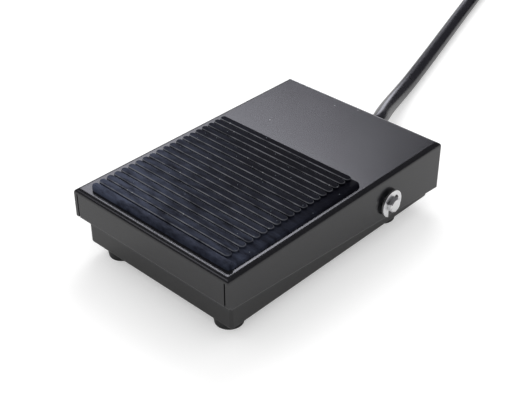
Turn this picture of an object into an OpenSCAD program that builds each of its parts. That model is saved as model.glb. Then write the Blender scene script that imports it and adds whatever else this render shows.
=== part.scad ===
// Foot switch: a sheet-metal pedal cover that tips on a cross pin over a sheet-metal tray.
// Millimetres. The feet stand on z = 0, the cord leaves at +Y, the toe end is at -Y.

/* [Cover] */
// Width of the pedal cover
cover_w = 67; // [56:1:90]
// Length of the pedal cover
cover_l = 100; // [90:1:140]
// Thickness of the sheet metal
sheet_t = 1.2; // [0.8:0.1:1.6]
// Radius of the bends round the cover's top
edge_r = 1.6; // [1.3:0.1:2.4]
// Width of the open slit beside each upright corner of the cover
corner_slit = 0.5; // [0.3:0.1:0.8]
// Depth of the cover's front wall below its top
front_drop = 10.2; // [8:0.1:12]
// Depth of the side walls at the toe end
side_drop = 11.1; // [9:0.1:13]
// Height of the cover's top above the tray's underside
stack_h = 21.1; // [19.5:0.1:26]

/* [Tray] */
// Gap between the tray and the cover's side walls
side_gap = 0.8; // [0.6:0.1:2]
// Gap between the tray and the cover's front wall
front_gap = 1.8; // [1.2:0.1:4]
// Gap between the tray and the cover's rear wall
rear_gap = 1.4; // [1.2:0.1:3]
// Height of the tray's walls
tray_h = 13.8; // [11:0.1:14.5]
// Radius of the tray's rounded edges
tray_r = 1; // [0.6:0.1:1.8]
// Radius of the rounded ears round the hinge pin
ear_r = 6.2; // [5:0.1:7]

/* [Hinge] */
// Diameter of the hinge pin
pin_d = 5; // [4:0.1:6]
// Distance of the pin from the cover's front
pin_back = 72.7; // [68:0.1:78]
// Depth of the pin below the cover's top
pin_drop = 10.2; // [9:0.1:11.5]
// How far the pin stands out of the cover on each side
pin_out = 3; // [2.4:0.1:5]
// Diameter of the grooves for the retaining clips
groove_d = 4; // [3:0.1:4]
// Outside diameter of a retaining clip
clip_d = 9.3; // [8.5:0.1:11]
// Thickness of a retaining clip
clip_t = 0.7; // [0.5:0.1:1]
// Gap between a retaining clip and the cover
clip_gap = 0.8; // [0.3:0.1:0.9]
// Angle through which the pedal tips
travel = 4; // [2:0.1:4.5]
// Radial clearance of the pin in its holes
pin_play = 0.05; // [0.02:0.01:0.1]

/* [Tread] */
// Width of the rubber tread
tread_w = 59.8; // [40:0.1:61]
// Length of the rubber tread
tread_l = 58.6; // [40:0.1:62]
// Distance of the tread from the cover's front
tread_back = 3.2; // [2.5:0.1:6]
// How far the tread lies to the right of the cover's middle
tread_shift = 0.9; // [0:0.1:1]
// Thickness of the tread's flat web
web_t = 1; // [0.8:0.1:2]
// Height of the ribs above the web
rib_h = 1; // [0.6:0.1:2.5]
// Distance from rib to rib
rib_pitch = 2.93; // [2:0.01:5]
// Width of the groove between two ribs
rib_gap = 0.45; // [0.3:0.05:1]
// Width of the web left bare at the right ends of the ribs
web_rim = 3.5; // [1:0.1:5]
// Radius of the tread's corners
tread_r = 2; // [1:0.1:5]

/* [Feet] */
// Diameter of a rubber foot
foot_d = 10; // [7:0.1:12]
// Height of a rubber foot
foot_h = 4.2; // [3:0.1:8]
// Distance of the feet from the middle plane
foot_x = 24; // [18:0.1:25]
// Distance of the front feet from the cover's front
foot_front = 9.5; // [9:0.1:16]
// Distance of the rear feet from the cover's rear
foot_rear = 17.6; // [14:0.1:18]
// Diameter of a foot's stem in the tray
stem_d = 4; // [3:0.1:5]

/* [Return spring] */
// Outside diameter of the spring
spring_d = 9; // [8:0.1:11]
// Diameter of the spring wire
wire_d = 1; // [0.7:0.1:1.2]
// Number of turns of the spring
spring_turns = 7; // [5:1:9]
// Distance of the spring from the cover's front
spring_back = 16; // [14:0.5:22]
// Diameter of the two spigots that hold the spring
spigot_d = 6; // [4:0.1:6]

/* [Snap switch] */
// Length of the switch case
case_l = 19.8; // [18:0.1:22]
// Thickness of the switch case
case_t = 6.4; // [5:0.1:8]
// Height of the switch case
case_h = 10.2; // [9:0.1:10.6]
// Distance of the case from the cover's front
case_back = 38; // [36:0.5:42]
// Height of the case above the tray's floor
case_lift = 2.8; // [2.4:0.1:3.2]
// Distance between the two mounting holes
hole_pitch = 9.5; // [8:0.1:11]
// Height of the mounting holes above the foot of the case
hole_lift = 2.9; // [2.5:0.1:3.5]
// Diameter of the switch screws
small_screw_d = 2; // [1.6:0.1:2.4]
// Thickness of the lever's strip
lever_t = 0.35; // [0.2:0.05:0.5]
// Width of the lever's strip
lever_w = 4; // [3:0.1:5]
// Distance from the lever's pivot to the point that the stud presses
lever_arm = 16.4; // [15:0.1:17]
// Distance from the lever's pivot to the plunger
plunger_arm = 5.3; // [4.5:0.1:6.5]

/* [Cord] */
// Diameter of the cord
cord_d = 6; // [4.6:0.1:6.4]
// Distance of the cord from the middle plane, to the left
cord_left = 4; // [0:0.5:6]
// Length of the strain relief outside the tray
relief_l = 12.6; // [10:0.1:16]
// Diameter of a conductor inside the cord
core_d = 1.8; // [1.2:0.1:1.8]
// Insulated length of the conductors beyond the jacket at the far end
core_l = 20; // [12:0.5:30]
// Bare length of the conductors at the far end
bare_l = 7; // [4:0.5:12]

/* [Hidden] */
$fn = 48;
eps = 0.02;
past = 5;                              // how far a cutting shape runs past the wall it cuts

// Levels
tray_z = foot_h;                       // underside of the tray
floor_z = tray_z + sheet_t;            // upper face of the tray's floor
top_z = tray_z + stack_h;              // top of the cover
under_z = top_z - sheet_t;             // underside of the cover's top
wall_z = tray_z + tray_h;              // top of the tray's walls

// Plan
front_y = -cover_l / 2;
rear_y = cover_l / 2;
pin_y = front_y + pin_back;
pin_z = top_z - pin_drop;
tray_w = cover_w - 2 * (sheet_t + side_gap);
tray_front_y = front_y + sheet_t + front_gap;
tray_rear_y = rear_y - sheet_t - rear_gap;
tray_l = tray_rear_y - tray_front_y;
tray_mid_y = (tray_rear_y + tray_front_y) / 2;

// Hinge
pin_r = pin_d / 2;
hole_r = pin_r + pin_play;
pin_l = cover_w + 2 * pin_out;
clip_x = cover_w / 2 + clip_gap;
groove_play = 0.05;
washer_play = 0.1;

// Pedal height lost at a given distance from the cover's front when it is pressed
function sink(y) = (pin_y - y) * sin(travel);

// Spring
spring_y = front_y + spring_back;
seat_t = 1;
seat_d = spring_d + 3;
spigot_h = 3;
spring_low = floor_z + seat_t;
spring_high = under_z - seat_t;
rivet_d = 3;

// Travel stops
stop_d = 8;
stop_x = 19;
stop_y = front_y + foot_front + foot_d / 2 + stop_d / 2 + 1;
stop_play = 0.4;
stop_z = under_z - sink(stop_y) - stop_play;

// Snap switch, with the lever pivot in the frame's own place
case_y = front_y + case_back;
case_z = floor_z + case_lift;
case_top = case_z + case_h;
cap_t = 1.4;
pivot_r = 0.6;
pivot_play = 0.06;
pivot_y = case_y + case_l - 2.2;
pivot_z = case_top - 0.7;
strip_rise = 0.9;                      // underside of the strip above the pivot
press_y = pivot_y - lever_arm;
lever_swing = asin(sink(press_y) / lever_arm);
plunger_play = 0.08;
plunger_d = 1.7;
plunger_y = pivot_y - plunger_arm * cos(lever_swing);
plunger_top = pivot_z + strip_rise * cos(lever_swing) + plunger_arm * sin(lever_swing) - plunger_play;
plunger_depth = 4;
hole_y = [for (k = [-0.5, 0.5]) case_y + case_l / 2 + k * hole_pitch];
hole_z = case_z + hole_lift;
terminal_pitch = 7.3;
terminal_y = [for (k = [-1, 0, 1]) case_y + case_l / 2 + k * terminal_pitch];
terminal_t = 0.5;
terminal_w = 2.4;
terminal_drop = 0.9;
terminal_x = case_t / 2 + 4.2;
lead_out = 3;                          // from the terminals' ends to the innermost lead's lane
lead_lane = 2.8;                       // from lane to lane
lead_turn = 4;                         // where a lead starts to turn in to its terminal
lead_straight = 5.2;                   // straight part of the lanes behind the last terminal
stud_play = 0.15;
stud_r = 1.8;
stud_dome = 4;
stud_y = pivot_y - lever_arm * cos(lever_swing) + (strip_rise + lever_t) * sin(lever_swing);
stud_low = pivot_z + lever_arm * sin(lever_swing)
    + (strip_rise + lever_t) * cos(lever_swing) + stud_play;

// Bracket
bracket_t = sheet_t;
bracket_x = -case_t / 2 - bracket_t;
bracket_w = 13;
bracket_top = hole_z + 2.8;
base_screw_d = 3;
base_screw_x = bracket_x - bracket_w / 2 - 0.5;
base_screw_y = [for (k = [-1, 1]) case_y + case_l / 2 + k * 5];
nut_h = 2.2;

// Cord
cord_x = -cord_left;
cord_r = cord_d / 2;
cord_z = floor_z + cord_r + 2.3;        // leaves room for the clip's strap under the cord
relief_y = tray_rear_y + relief_l;
relief_neck_r = cord_r + 1.2;
relief_root_r = cord_r + 2.2;
relief_tip_r = cord_r + 0.8;
relief_flange_r = cord_r + 2.2;
relief_flange_t = 1.5;
relief_lift = 0.1;                     // gap between the flange's flat and the tray's floor
cord_play = 0.05;
cord_inside = 14;                      // length of the cord inside the tray
inner_end_y = tray_rear_y - cord_inside;
clamp_y = inner_end_y + 3;
clamp_w = 6;
clamp_t = 1;
clamp_tab_t = 1.5;
clamp_screw_d = 2.5;
clamp_screw_x = cord_x - cord_r - clamp_t - 3.5;
notch_gap = 1.5;

// The cord's route on the floor behind the cover, and its coil: points x, y and height of its middle
tie_t = 0.8;
lay_points = [
    [-4, 60, 10.7], [-4, 62, 10.7], [-4.6, 65, 10.6], [-6.5, 70, 9.8], [-9, 75, 8.6], [-11.4, 80, 7.4],
    [-13.6, 85, 6.3], [-16.4, 92, 5], [-19.3, 100, 3.9], [-22.6, 110, 3.2], [-27.4, 125, 3],
    [-32.2, 140, 3], [-38.7, 160, 3], [-45.2, 180, 3], [-51.6, 200, 3], [-58.1, 220, 3],
    [-64.7, 240, 3.4], [-69.5, 255, 3.8]
];
coil_x = -27.7;
coil_y = 268.7;
coil_turn = 44;                        // radius of the outermost turn
coil_columns = 3;
coil_layers = 2;
// The end of the cord beside the coil: distance from the coil's middle, angle, height
tail_points = [
    [44, 70, 9.8], [45.2, 60, 9.4], [46.8, 50, 8.4], [48.4, 40, 6.8], [49.8, 30, 5],
    [50.4, 20, 3.6], [50.4, 10, 3], [50.4, 0, 3], [50.4, -10, 3]
];

// ---- Helpers ----

// A box of size w by l whose upright edges and upper edges are rounded with radius r
module soft_box(w, l, h, r) {
    linear_extrude(h - r) soft_square(w, l, r);
    translate([-w / 2 + r, -l / 2 + r, 0]) cube([w - 2 * r, l - 2 * r, h]);
    for (sx = [-1, 1], sy = [-1, 1])
        translate([sx * (w / 2 - r), sy * (l / 2 - r), h - r]) sphere(r);
    for (sy = [-1, 1])
        translate([-w / 2 + r, sy * (l / 2 - r), h - r]) rotate([0, 90, 0]) cylinder(h = w - 2 * r, r = r);
    for (sx = [-1, 1])
        translate([sx * (w / 2 - r), -l / 2 + r, h - r]) rotate([-90, 0, 0]) cylinder(h = l - 2 * r, r = r);
}

// A rectangle of size w by h that stands on z = 0, its upper corners rounded with radius r
module bent_profile(w, h, r) {
    translate([-w / 2, 0]) square([w, h - r]);
    translate([-w / 2 + r, 0]) square([w - 2 * r, h]);
    for (s = [-1, 1]) translate([s * (w / 2 - r), h - r]) circle(r);
}

// A box folded from sheet: bends round the top, square upright corners
module folded_box(w, l, h, r) {
    intersection() {
        across(w) bent_profile(l, h, r);
        rotate(90) across(l) bent_profile(w, h, r);
    }
}

module soft_square(w, l, r) {
    square([w - 2 * r, l], center = true);
    square([w, l - 2 * r], center = true);
    for (sx = [-1, 1], sy = [-1, 1])
        translate([sx * (w / 2 - r), sy * (l / 2 - r)]) circle(r);
}

// A shape drawn in the side view (y, z), pushed out along x and centred
module across(w) {
    rotate([90, 0, 90]) translate([0, 0, -w / 2]) linear_extrude(w) children();
}

// A cylinder along x that starts at x = from
module bar_x(from, l, r) {
    translate([from, 0, 0]) rotate([0, 90, 0]) cylinder(h = l, r = r);
}

// A cylinder along y that starts at y = from
module bar_y(from, l, r) {
    translate([0, from, 0]) rotate([-90, 0, 0]) cylinder(h = l, r = r);
}

// Round tube of radius r along a list of points
function unit(v) = v / norm(v);
function heading(p, i) =
    unit(p[min(i + 1, len(p) - 1)] - p[max(i - 1, 0)]);
function ring(c, t, r, n) =
    let (s = unit(cross(t, [0, 0, 1])), u = cross(s, t))
    [for (k = [0:n - 1]) c + r * (cos(360 * k / n) * s + sin(360 * k / n) * u)];
module tube(p, r, n) {
    m = len(p);
    polyhedron(
        points = [for (i = [0:m - 1]) each ring(p[i], heading(p, i), r, n)],
        faces = concat(
            [[for (k = [n - 1:-1:0]) k]],
            [for (i = [0:m - 2], k = [0:n - 1])
                let (a = i * n + k, b = i * n + (k + 1) % n) [a, b, b + n, a + n]],
            [[for (k = [0:n - 1]) (m - 1) * n + k]]
        )
    );
}

// Pan-head screw along -Z: the head's seat is z = 0, the shank goes down
module screw(d, l) {
    translate([0, 0, -l]) cylinder(h = l, r = d / 2);
    difference() {
        cylinder(h = 0.6 * d, r1 = 0.95 * d, r2 = 0.75 * d);
        for (a = [0, 90]) rotate(a)
            translate([-0.5 * d, -0.1 * d, 0.25 * d]) cube([d, 0.2 * d, d]);
    }
}

// Hexagon nut that stands on z = 0
module nut(d, h) {
    difference() {
        cylinder(h = h, r = d, $fn = 6);
        translate([0, 0, -1]) cylinder(h = h + 2, r = d / 2 + 0.02);
    }
}

// ---- Pedal ----

// What is cut off below the cover's walls: the sides follow the pedal's travel
module skirt_cut() {
    rear_drop = side_drop + cover_l * tan(travel);
    deep = top_z + 2 * past;
    across(cover_w + 2 * past)
        polygon([
            [front_y - 5, top_z - front_drop], [front_y + sheet_t, top_z - front_drop],
            [front_y + sheet_t, top_z - side_drop], [rear_y + 5, top_z - rear_drop],
            [rear_y + 5, -deep], [front_y - 5, -deep]
        ]);
}

// The front and rear walls stand between the side walls, a slit away from each
module corner_slits() {
    for (sx = [-1, 1], sy = [-1, 1])
        translate([sx * (cover_w / 2 - sheet_t - corner_slit / 2), sy * cover_l / 2, 0])
            translate([-corner_slit / 2, -sheet_t - eps, 0])
                cube([corner_slit, 2 * (sheet_t + eps), top_z - edge_r]);
}

module pedal_cover() color([0.3, 0.3, 0.32]) {
    reach = side_drop + cover_l * tan(travel) + 2;
    difference() {
        translate([0, 0, top_z - reach]) folded_box(cover_w, cover_l, reach, edge_r);
        corner_slits();
        translate([0, 0, under_z - reach])
            translate([-cover_w / 2 + sheet_t, front_y + sheet_t, 0])
                cube([cover_w - 2 * sheet_t, cover_l - 2 * sheet_t, reach]);
        skirt_cut();
        translate([0, pin_y, pin_z]) bar_x(-cover_w, 2 * cover_w, hole_r);
        // Notch in the rear wall for the strain relief
        translate([cord_x, rear_y - past, cord_z]) {
            rotate([-90, 0, 0]) cylinder(h = 2 * past, r = relief_root_r + notch_gap);
            translate([-relief_root_r - notch_gap, 0, -cord_z])
                cube([2 * (relief_root_r + notch_gap), 2 * past, cord_z]);
        }
    }
}

// One rib of the tread, round at both ends, from x0 to x1
module rib_profile(w) {
    crown = 0.2 * w;
    r = (w * w / 4 + crown * crown) / (2 * crown);
    intersection() {
        translate([0, rib_h - r]) circle(r);
        translate([-w / 2, -1]) square([w, rib_h + 2]);
        translate([-w, -eps]) square([2 * w, rib_h + 1]);
    }
}
module rib(x0, x1, w) {
    translate([(x0 + x1) / 2, 0, 0]) across(x1 - x0 - w) rib_profile(w);
    for (x = [x0 + w / 2, x1 - w / 2]) translate([x, 0, 0])
        rotate_extrude() intersection() {
            rib_profile(w);
            translate([0, -1]) square([w, rib_h + 2]);
        }
}

// The web ends in round tips under the ribs' left ends and runs on as a bare border at the right.
// The first rib is a lip that runs over the border as well.
module tread_pad() color([0.12, 0.12, 0.15]) {
    rib_w = rib_pitch - rib_gap;
    count = floor((tread_l + rib_gap) / rib_pitch);
    left = tread_shift - tread_w / 2;
    right = tread_shift + tread_w / 2;
    web_left = left + rib_w / 2;
    translate([0, front_y + tread_back, top_z]) {
        linear_extrude(web_t) {
            translate([(web_left + right) / 2, tread_l / 2])
                soft_square(right - web_left, tread_l, tread_r);
            translate([web_left, 0]) square([tread_r, tread_l]);
            for (k = [0:count - 1])
                translate([web_left, (k + 0.5) * rib_pitch - rib_gap / 2]) circle(rib_w / 2);
        }
        for (k = [0:count - 1])
            translate([0, (k + 0.5) * rib_pitch - rib_gap / 2, web_t])
                rib(left, k == 0 ? right : right - web_rim, rib_w);
    }
}

module actuator_stud() color([0.75, 0.75, 0.77]) translate([0, stud_y, 0]) {
    intersection() {
        translate([0, 0, stud_low]) cylinder(h = under_z - stud_low, r = stud_r);
        translate([0, 0, stud_low + stud_dome]) sphere(stud_dome);
    }
    translate([0, 0, under_z - 0.7]) cylinder(h = 0.7, r = stud_r + 1.4);
}

module spring_guide() color([0.75, 0.75, 0.77]) translate([0, spring_y, under_z]) {
    translate([0, 0, -seat_t]) cylinder(h = seat_t, r = seat_d / 2);
    translate([0, 0, -seat_t - spigot_h]) cylinder(h = spigot_h + eps, r = spigot_d / 2);
}

// ---- Base ----

module foot_places() {
    for (sx = [-1, 1]) {
        translate([sx * foot_x, front_y + foot_front, 0]) children();
        translate([sx * foot_x, rear_y - foot_rear, 0]) children();
    }
}

// Side view of the tray's walls: level, with an ear round the pin and two tabs at the rear
module wall_shape() {
    translate([tray_front_y - 1, 0]) square([tray_l + 2, wall_z]);
    translate([pin_y - ear_r, 0]) square([2 * ear_r, pin_z]);
    translate([pin_y, pin_z]) circle(ear_r);
}

module base_tray() color([0.26, 0.26, 0.27]) {
    tab_z = under_z - 0.3;             // the cover rests on these tabs at the end of its return
    tab_x = 19;
    tab_w = 9;
    difference() {
        intersection() {
            translate([0, tray_mid_y, tray_z]) mirror([0, 0, 1])
                translate([0, 0, -stack_h]) soft_box(tray_w, tray_l, stack_h, tray_r);
            union() {
                across(tray_w + 2) wall_shape();
                for (sx = [-1, 1])
                    translate([sx * tab_x - tab_w / 2, tray_rear_y - 2 * sheet_t, 0])
                        cube([tab_w, past, tab_z]);
            }
        }
        translate([-tray_w / 2 + sheet_t, tray_front_y + sheet_t, floor_z])
            cube([tray_w - 2 * sheet_t, tray_l - 2 * sheet_t, stack_h]);
        translate([0, pin_y, pin_z]) bar_x(-tray_w, 2 * tray_w, hole_r);
        foot_places() cylinder(h = floor_z + 1, r = stem_d / 2 + 0.05);
        translate([0, spring_y, 0]) cylinder(h = floor_z + 1, r = rivet_d / 2 + 0.05);
        for (sx = [-1, 1])
            translate([sx * stop_x, stop_y, 0]) cylinder(h = floor_z + 1, r = stem_d / 2 + 0.05);
        for (y = base_screw_y)
            translate([base_screw_x, y, 0]) cylinder(h = floor_z + 1, r = base_screw_d / 2 + 0.1);
        translate([clamp_screw_x, clamp_y + clamp_w / 2, 0])
            cylinder(h = floor_z + 1, r = clamp_screw_d / 2 + 0.02);
        translate([cord_x, 0, cord_z]) bar_y(tray_rear_y - past, 2 * past, relief_neck_r + 0.05);
    }
}

module hinge_pin() color([0.8, 0.8, 0.82]) translate([0, pin_y, pin_z]) {
    difference() {
        union() {
            bar_x(-pin_l / 2 + 0.4, pin_l - 0.8, pin_r);
            for (s = [-1, 1]) mirror([s < 0 ? 1 : 0, 0, 0])
                translate([pin_l / 2 - 0.4, 0, 0]) rotate([0, 90, 0])
                    cylinder(h = 0.4, r1 = pin_r, r2 = pin_r - 0.4, $fn = 48);
        }
        for (s = [-1, 1]) mirror([s < 0 ? 1 : 0, 0, 0]) difference() {
            bar_x(clip_x - groove_play, clip_t + 2 * groove_play, pin_r + 1);
            bar_x(clip_x - 1, clip_t + 2, groove_d / 2);
        }
    }
}

// Retaining clip that snaps into a groove from above, its mouth pointing down
module clip_shape() {
    mouth = 0.9 * groove_d;
    difference() {
        circle(clip_d / 2);
        circle(groove_d / 2 + groove_play);
        translate([-mouth / 2, -clip_d]) square([mouth, clip_d]);
        for (a = [32, 50, 130, 148]) rotate(a)
            translate([groove_d / 2 + 0.55, 0]) circle(0.75);
    }
}
module clip(side) color([0.85, 0.85, 0.87])
    translate([side * (clip_x + clip_t / 2), pin_y, pin_z]) across(clip_t) clip_shape();
module clip_left() clip(-1);
module clip_right() clip(1);

module hinge_washers() color([0.92, 0.92, 0.88])
    for (s = [-1, 1]) translate([0, pin_y, pin_z]) mirror([s < 0 ? 1 : 0, 0, 0]) difference() {
        bar_x(tray_w / 2 + washer_play, side_gap - 2 * washer_play, pin_r + 2.5);
        bar_x(tray_w / 2 - 1, side_gap + 2, hole_r);
    }

// Height of the spring's wire at turn t: the first and last turns lie almost flat
spring_span = spring_high - spring_low - wire_d - 0.1;
flat_rise = 0.15 * wire_d;
function coil_rise(t) =
    spring_low + wire_d / 2 + 0.05 + (
        t < 1 ? flat_rise * t
        : t > spring_turns - 1 ? spring_span - flat_rise * (spring_turns - t)
        : flat_rise + (t - 1) / (spring_turns - 2) * (spring_span - 2 * flat_rise)
    );

module return_spring() color([0.8, 0.8, 0.82]) {
    steps = 18;
    n = 8;
    m = spring_turns * steps + 1;
    mean = (spring_d - wire_d) / 2;
    translate([0, spring_y, 0]) polyhedron(
        points = [for (i = [0:m - 1], k = [0:n - 1])
            let (a = 360 * i / steps, r = mean + wire_d / 2 * cos(360 * k / n))
            [r * cos(a), r * sin(a), coil_rise(i / steps) + wire_d / 2 * sin(360 * k / n)]],
        faces = concat(
            [[for (k = [n - 1:-1:0]) k]],
            [for (i = [0:m - 2], k = [0:n - 1])
                let (a = i * n + k, b = i * n + (k + 1) % n) [a, b, b + n, a + n]],
            [[for (k = [0:n - 1]) (m - 1) * n + k]]
        )
    );
}

module spring_seat() color([0.75, 0.75, 0.77]) translate([0, spring_y, 0]) {
    translate([0, 0, floor_z]) cylinder(h = seat_t, r = seat_d / 2);
    translate([0, 0, tray_z - 0.8]) cylinder(h = floor_z - tray_z + seat_t + spigot_h + 0.8, r = rivet_d / 2);
    translate([0, 0, floor_z]) cylinder(h = seat_t + spigot_h, r = spigot_d / 2);
    translate([0, 0, tray_z - 0.8]) cylinder(h = 0.8, r = rivet_d / 2 + 1);
}

// Rubber buffer that ends the pedal's travel
module travel_stops() color([0.1, 0.1, 0.1])
    for (sx = [-1, 1]) translate([sx * stop_x, stop_y, 0]) {
        translate([0, 0, floor_z]) cylinder(h = stop_z - floor_z, r1 = stop_d / 2, r2 = stop_d / 2 - 0.8);
        translate([0, 0, tray_z - 0.9]) cylinder(h = floor_z - tray_z + 1, r = stem_d / 2);
        translate([0, 0, tray_z - 0.9]) cylinder(h = 0.9, r = stem_d / 2 + 0.8);
    }

module rubber_feet() color([0.08, 0.08, 0.08]) foot_places() {
    cylinder(h = foot_h - 0.5, r1 = foot_d / 2 - 0.5, r2 = foot_d / 2);
    translate([0, 0, foot_h - 0.5]) cylinder(h = 0.5, r = foot_d / 2);
    cylinder(h = floor_z + 0.2, r = stem_d / 2);
    translate([0, 0, floor_z]) cylinder(h = 1.6, r1 = stem_d / 2 + 0.6, r2 = stem_d / 2 - 0.6);
}

// ---- Snap switch ----

module case_bores() {
    for (y = hole_y) translate([0, y, hole_z]) bar_x(-case_t, 2 * case_t, small_screw_d / 2 + 0.1);
}

module case_block(x0, x1) {
    chamfer = 0.6;
    translate([(x0 + x1) / 2, 0, 0]) across(x1 - x0)
        polygon([
            [case_y + chamfer, case_z], [case_y + case_l - chamfer, case_z],
            [case_y + case_l, case_z + chamfer], [case_y + case_l, case_top - 2 * chamfer],
            [case_y + case_l - 2 * chamfer, case_top], [case_y + chamfer, case_top],
            [case_y, case_top - chamfer], [case_y, case_z + chamfer]
        ]);
}

module switch_case() color([0.1, 0.1, 0.1]) {
    difference() {
        case_block(-case_t / 2, case_t / 2 - cap_t);
        case_bores();
        translate([-cap_t / 2, plunger_y, case_top - plunger_depth])
            cylinder(h = plunger_depth + 1, r = plunger_d / 2 + 0.06);
    }
    translate([0, pivot_y, pivot_z]) bar_x(-case_t / 2 - 0.55, 0.6, pivot_r);
}

module switch_cap() color([0.16, 0.16, 0.16]) {
    difference() {
        case_block(case_t / 2 - cap_t, case_t / 2);
        case_bores();
    }
    translate([0, pivot_y, pivot_z]) bar_x(case_t / 2 - 0.05, 0.6, pivot_r);
}

module switch_plunger() color([0.8, 0.15, 0.12]) translate([-cap_t / 2, plunger_y, 0]) {
    low = case_top - plunger_depth + 1.2;
    translate([0, 0, low]) cylinder(h = plunger_top - 0.4 - low, r = plunger_d / 2);
    translate([0, 0, plunger_top - 0.4 - eps])
        cylinder(h = 0.4 + eps, r1 = plunger_d / 2, r2 = plunger_d / 2 - 0.4);
}

module switch_lever() color([0.85, 0.85, 0.86])
    translate([0, pivot_y, pivot_z]) rotate([-lever_swing, 0, 0]) {
        lug_x = case_t / 2 + 0.15;
        over = 1.4;                    // how far the strip goes behind the pivot
        translate([-lever_w / 2, -lever_arm - 1.6, strip_rise])
            cube([lever_w, lever_arm + 1.6 + over, lever_t]);
        translate([-lug_x - lever_t, -over, strip_rise]) cube([2 * (lug_x + lever_t), 2 * over, lever_t]);
        for (s = [-1, 1]) mirror([s < 0 ? 1 : 0, 0, 0]) difference() {
            union() {
                translate([lug_x, -over, 0]) cube([lever_t, 2 * over, strip_rise + lever_t]);
                bar_x(lug_x, lever_t, over);
            }
            bar_x(lug_x - 1, lever_t + 2, pivot_r + pivot_play);
        }
    }

// Blade terminals that turn out sideways under the case, each with a solder eye
module switch_terminals() color([0.85, 0.75, 0.45])
    for (y = terminal_y) translate([0, y, 0]) difference() {
        union() {
            translate([0, -terminal_w / 2, case_z - terminal_drop]) {
                cube([terminal_x, terminal_w, terminal_t]);
                cube([terminal_t, terminal_w, terminal_drop]);
            }
        }
        translate([terminal_x - 1.3, 0, case_z - 2]) cylinder(h = 3, r = 0.6);
    }

module switch_bracket() color([0.72, 0.72, 0.74]) {
    long = case_l - 1;
    translate([0, case_y + 0.5, 0]) difference() {
        union() {
            translate([bracket_x, 0, floor_z]) cube([bracket_t, long, bracket_top - floor_z]);
            translate([bracket_x - bracket_w, 0, floor_z]) cube([bracket_w + bracket_t, long, bracket_t]);
        }
        translate([0, -case_y - 0.5, 0]) case_bores();
        for (y = base_screw_y) translate([base_screw_x, y - case_y - 0.5, 0])
            cylinder(h = floor_z + 5, r = base_screw_d / 2 + 0.1);
    }
}

module switch_screws() color([0.8, 0.8, 0.82])
    for (y = hole_y) translate([case_t / 2, y, hole_z]) rotate([0, 90, 0])
        screw(small_screw_d, case_t + bracket_t + 2.2);

module switch_nuts() color([0.8, 0.8, 0.82])
    for (y = hole_y) translate([bracket_x, y, hole_z]) rotate([0, -90, 0]) nut(small_screw_d, 1.6);

module bracket_screws() color([0.8, 0.8, 0.82])
    for (y = base_screw_y) translate([base_screw_x, y, tray_z]) rotate([180, 0, 0])
        screw(base_screw_d, sheet_t + bracket_t + nut_h + 0.8);

module bracket_nuts() color([0.8, 0.8, 0.82])
    for (y = base_screw_y) translate([base_screw_x, y, floor_z + bracket_t]) nut(base_screw_d, nut_h);

// ---- Cord ----

// Rubber bush that grips the rear wall and tapers along the cord, with grooves to let it bend
module cord_relief() color([0.1, 0.1, 0.1]) translate([cord_x, 0, cord_z]) {
    wall_in = tray_rear_y - sheet_t;
    groove_count = 4;
    step = (relief_l - 3) / groove_count;
    rotate([-90, 0, 0]) difference() {
        union() {
            translate([0, 0, wall_in - relief_flange_t])
                cylinder(h = relief_flange_t, r = relief_flange_r);
            translate([0, 0, wall_in - eps]) cylinder(h = sheet_t + 2 * eps, r = relief_neck_r);
            translate([0, 0, tray_rear_y]) cylinder(h = relief_l, r1 = relief_root_r, r2 = relief_tip_r);
        }
        translate([0, 0, wall_in - past]) cylinder(h = relief_l + 3 * past, r = cord_r + cord_play);
        // The flange is flat below, to clear the tray's floor
        translate([-cover_w, cord_z - floor_z - relief_lift, 0]) cube([2 * cover_w, cord_z, wall_in]);
        for (k = [0:groove_count - 1]) translate([0, 0, tray_rear_y + 2 + k * step]) difference() {
            cylinder(h = 0.9, r = relief_root_r + 1);
            translate([0, 0, -1]) cylinder(h = 3, r = cord_r + 0.6);
        }
    }
}

module cord_inlet() color([0.12, 0.12, 0.13])
    translate([cord_x, 0, cord_z]) bar_y(inner_end_y, relief_y - inner_end_y, cord_r);

// Strap round the cord whose tab is screwed to the tray's floor
module cord_clamp() color([0.8, 0.8, 0.82]) {
    ring_r = cord_r + cord_play + clamp_t;
    tab_end = clamp_screw_x - 3;
    difference() {
        translate([0, clamp_y + clamp_w, 0]) rotate([90, 0, 0]) linear_extrude(clamp_w) difference() {
            union() {
                translate([cord_x, cord_z]) circle(ring_r);
                translate([tab_end, floor_z]) square([cord_x - tab_end, clamp_tab_t]);
            }
            translate([cord_x, cord_z]) circle(cord_r + cord_play);
        }
        translate([clamp_screw_x, clamp_y + clamp_w / 2, 0])
            cylinder(h = floor_z + 2 * past, r = clamp_screw_d / 2 + 0.1);
    }
}

module clamp_screw() color([0.8, 0.8, 0.82])
    translate([clamp_screw_x, clamp_y + clamp_w / 2, floor_z + clamp_tab_t])
        screw(clamp_screw_d, clamp_tab_t + sheet_t + 0.8);

// A conductor from the cord's inner end to terminal k; the front terminal has the outermost lane
module lead(k, dx, dz) {
    core_r = core_d / 2;
    lane_x = terminal_x + lead_out + lead_lane * (2 - k);
    wire_z = case_z - terminal_drop + terminal_t + core_r;
    start = [cord_x + dx, inner_end_y, cord_z + dz];
    bend_y = terminal_y[2] + lead_turn + lead_straight;
    tube(concat(
        [start],
        [for (f = [0, 0.25, 0.5, 0.75])
            [start[0] + f * (lane_x - start[0]),
             inner_end_y - 2 - f * (inner_end_y - 2 - bend_y) + 1.6 * (1 - k) * sin(180 * f),
             start[2] + f * (wire_z - start[2])]],
        [[lane_x, bend_y, wire_z], [lane_x, terminal_y[k] + lead_turn, wire_z],
         [lane_x - 1, terminal_y[k] + 1.6, wire_z], [lane_x - 2.6, terminal_y[k] + 0.3, wire_z],
         [terminal_x - 0.6, terminal_y[k], wire_z]]
    ), core_r, 8);
}
module lead_common() color([0.1, 0.1, 0.1]) lead(2, -1.15, -0.7);
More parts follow.
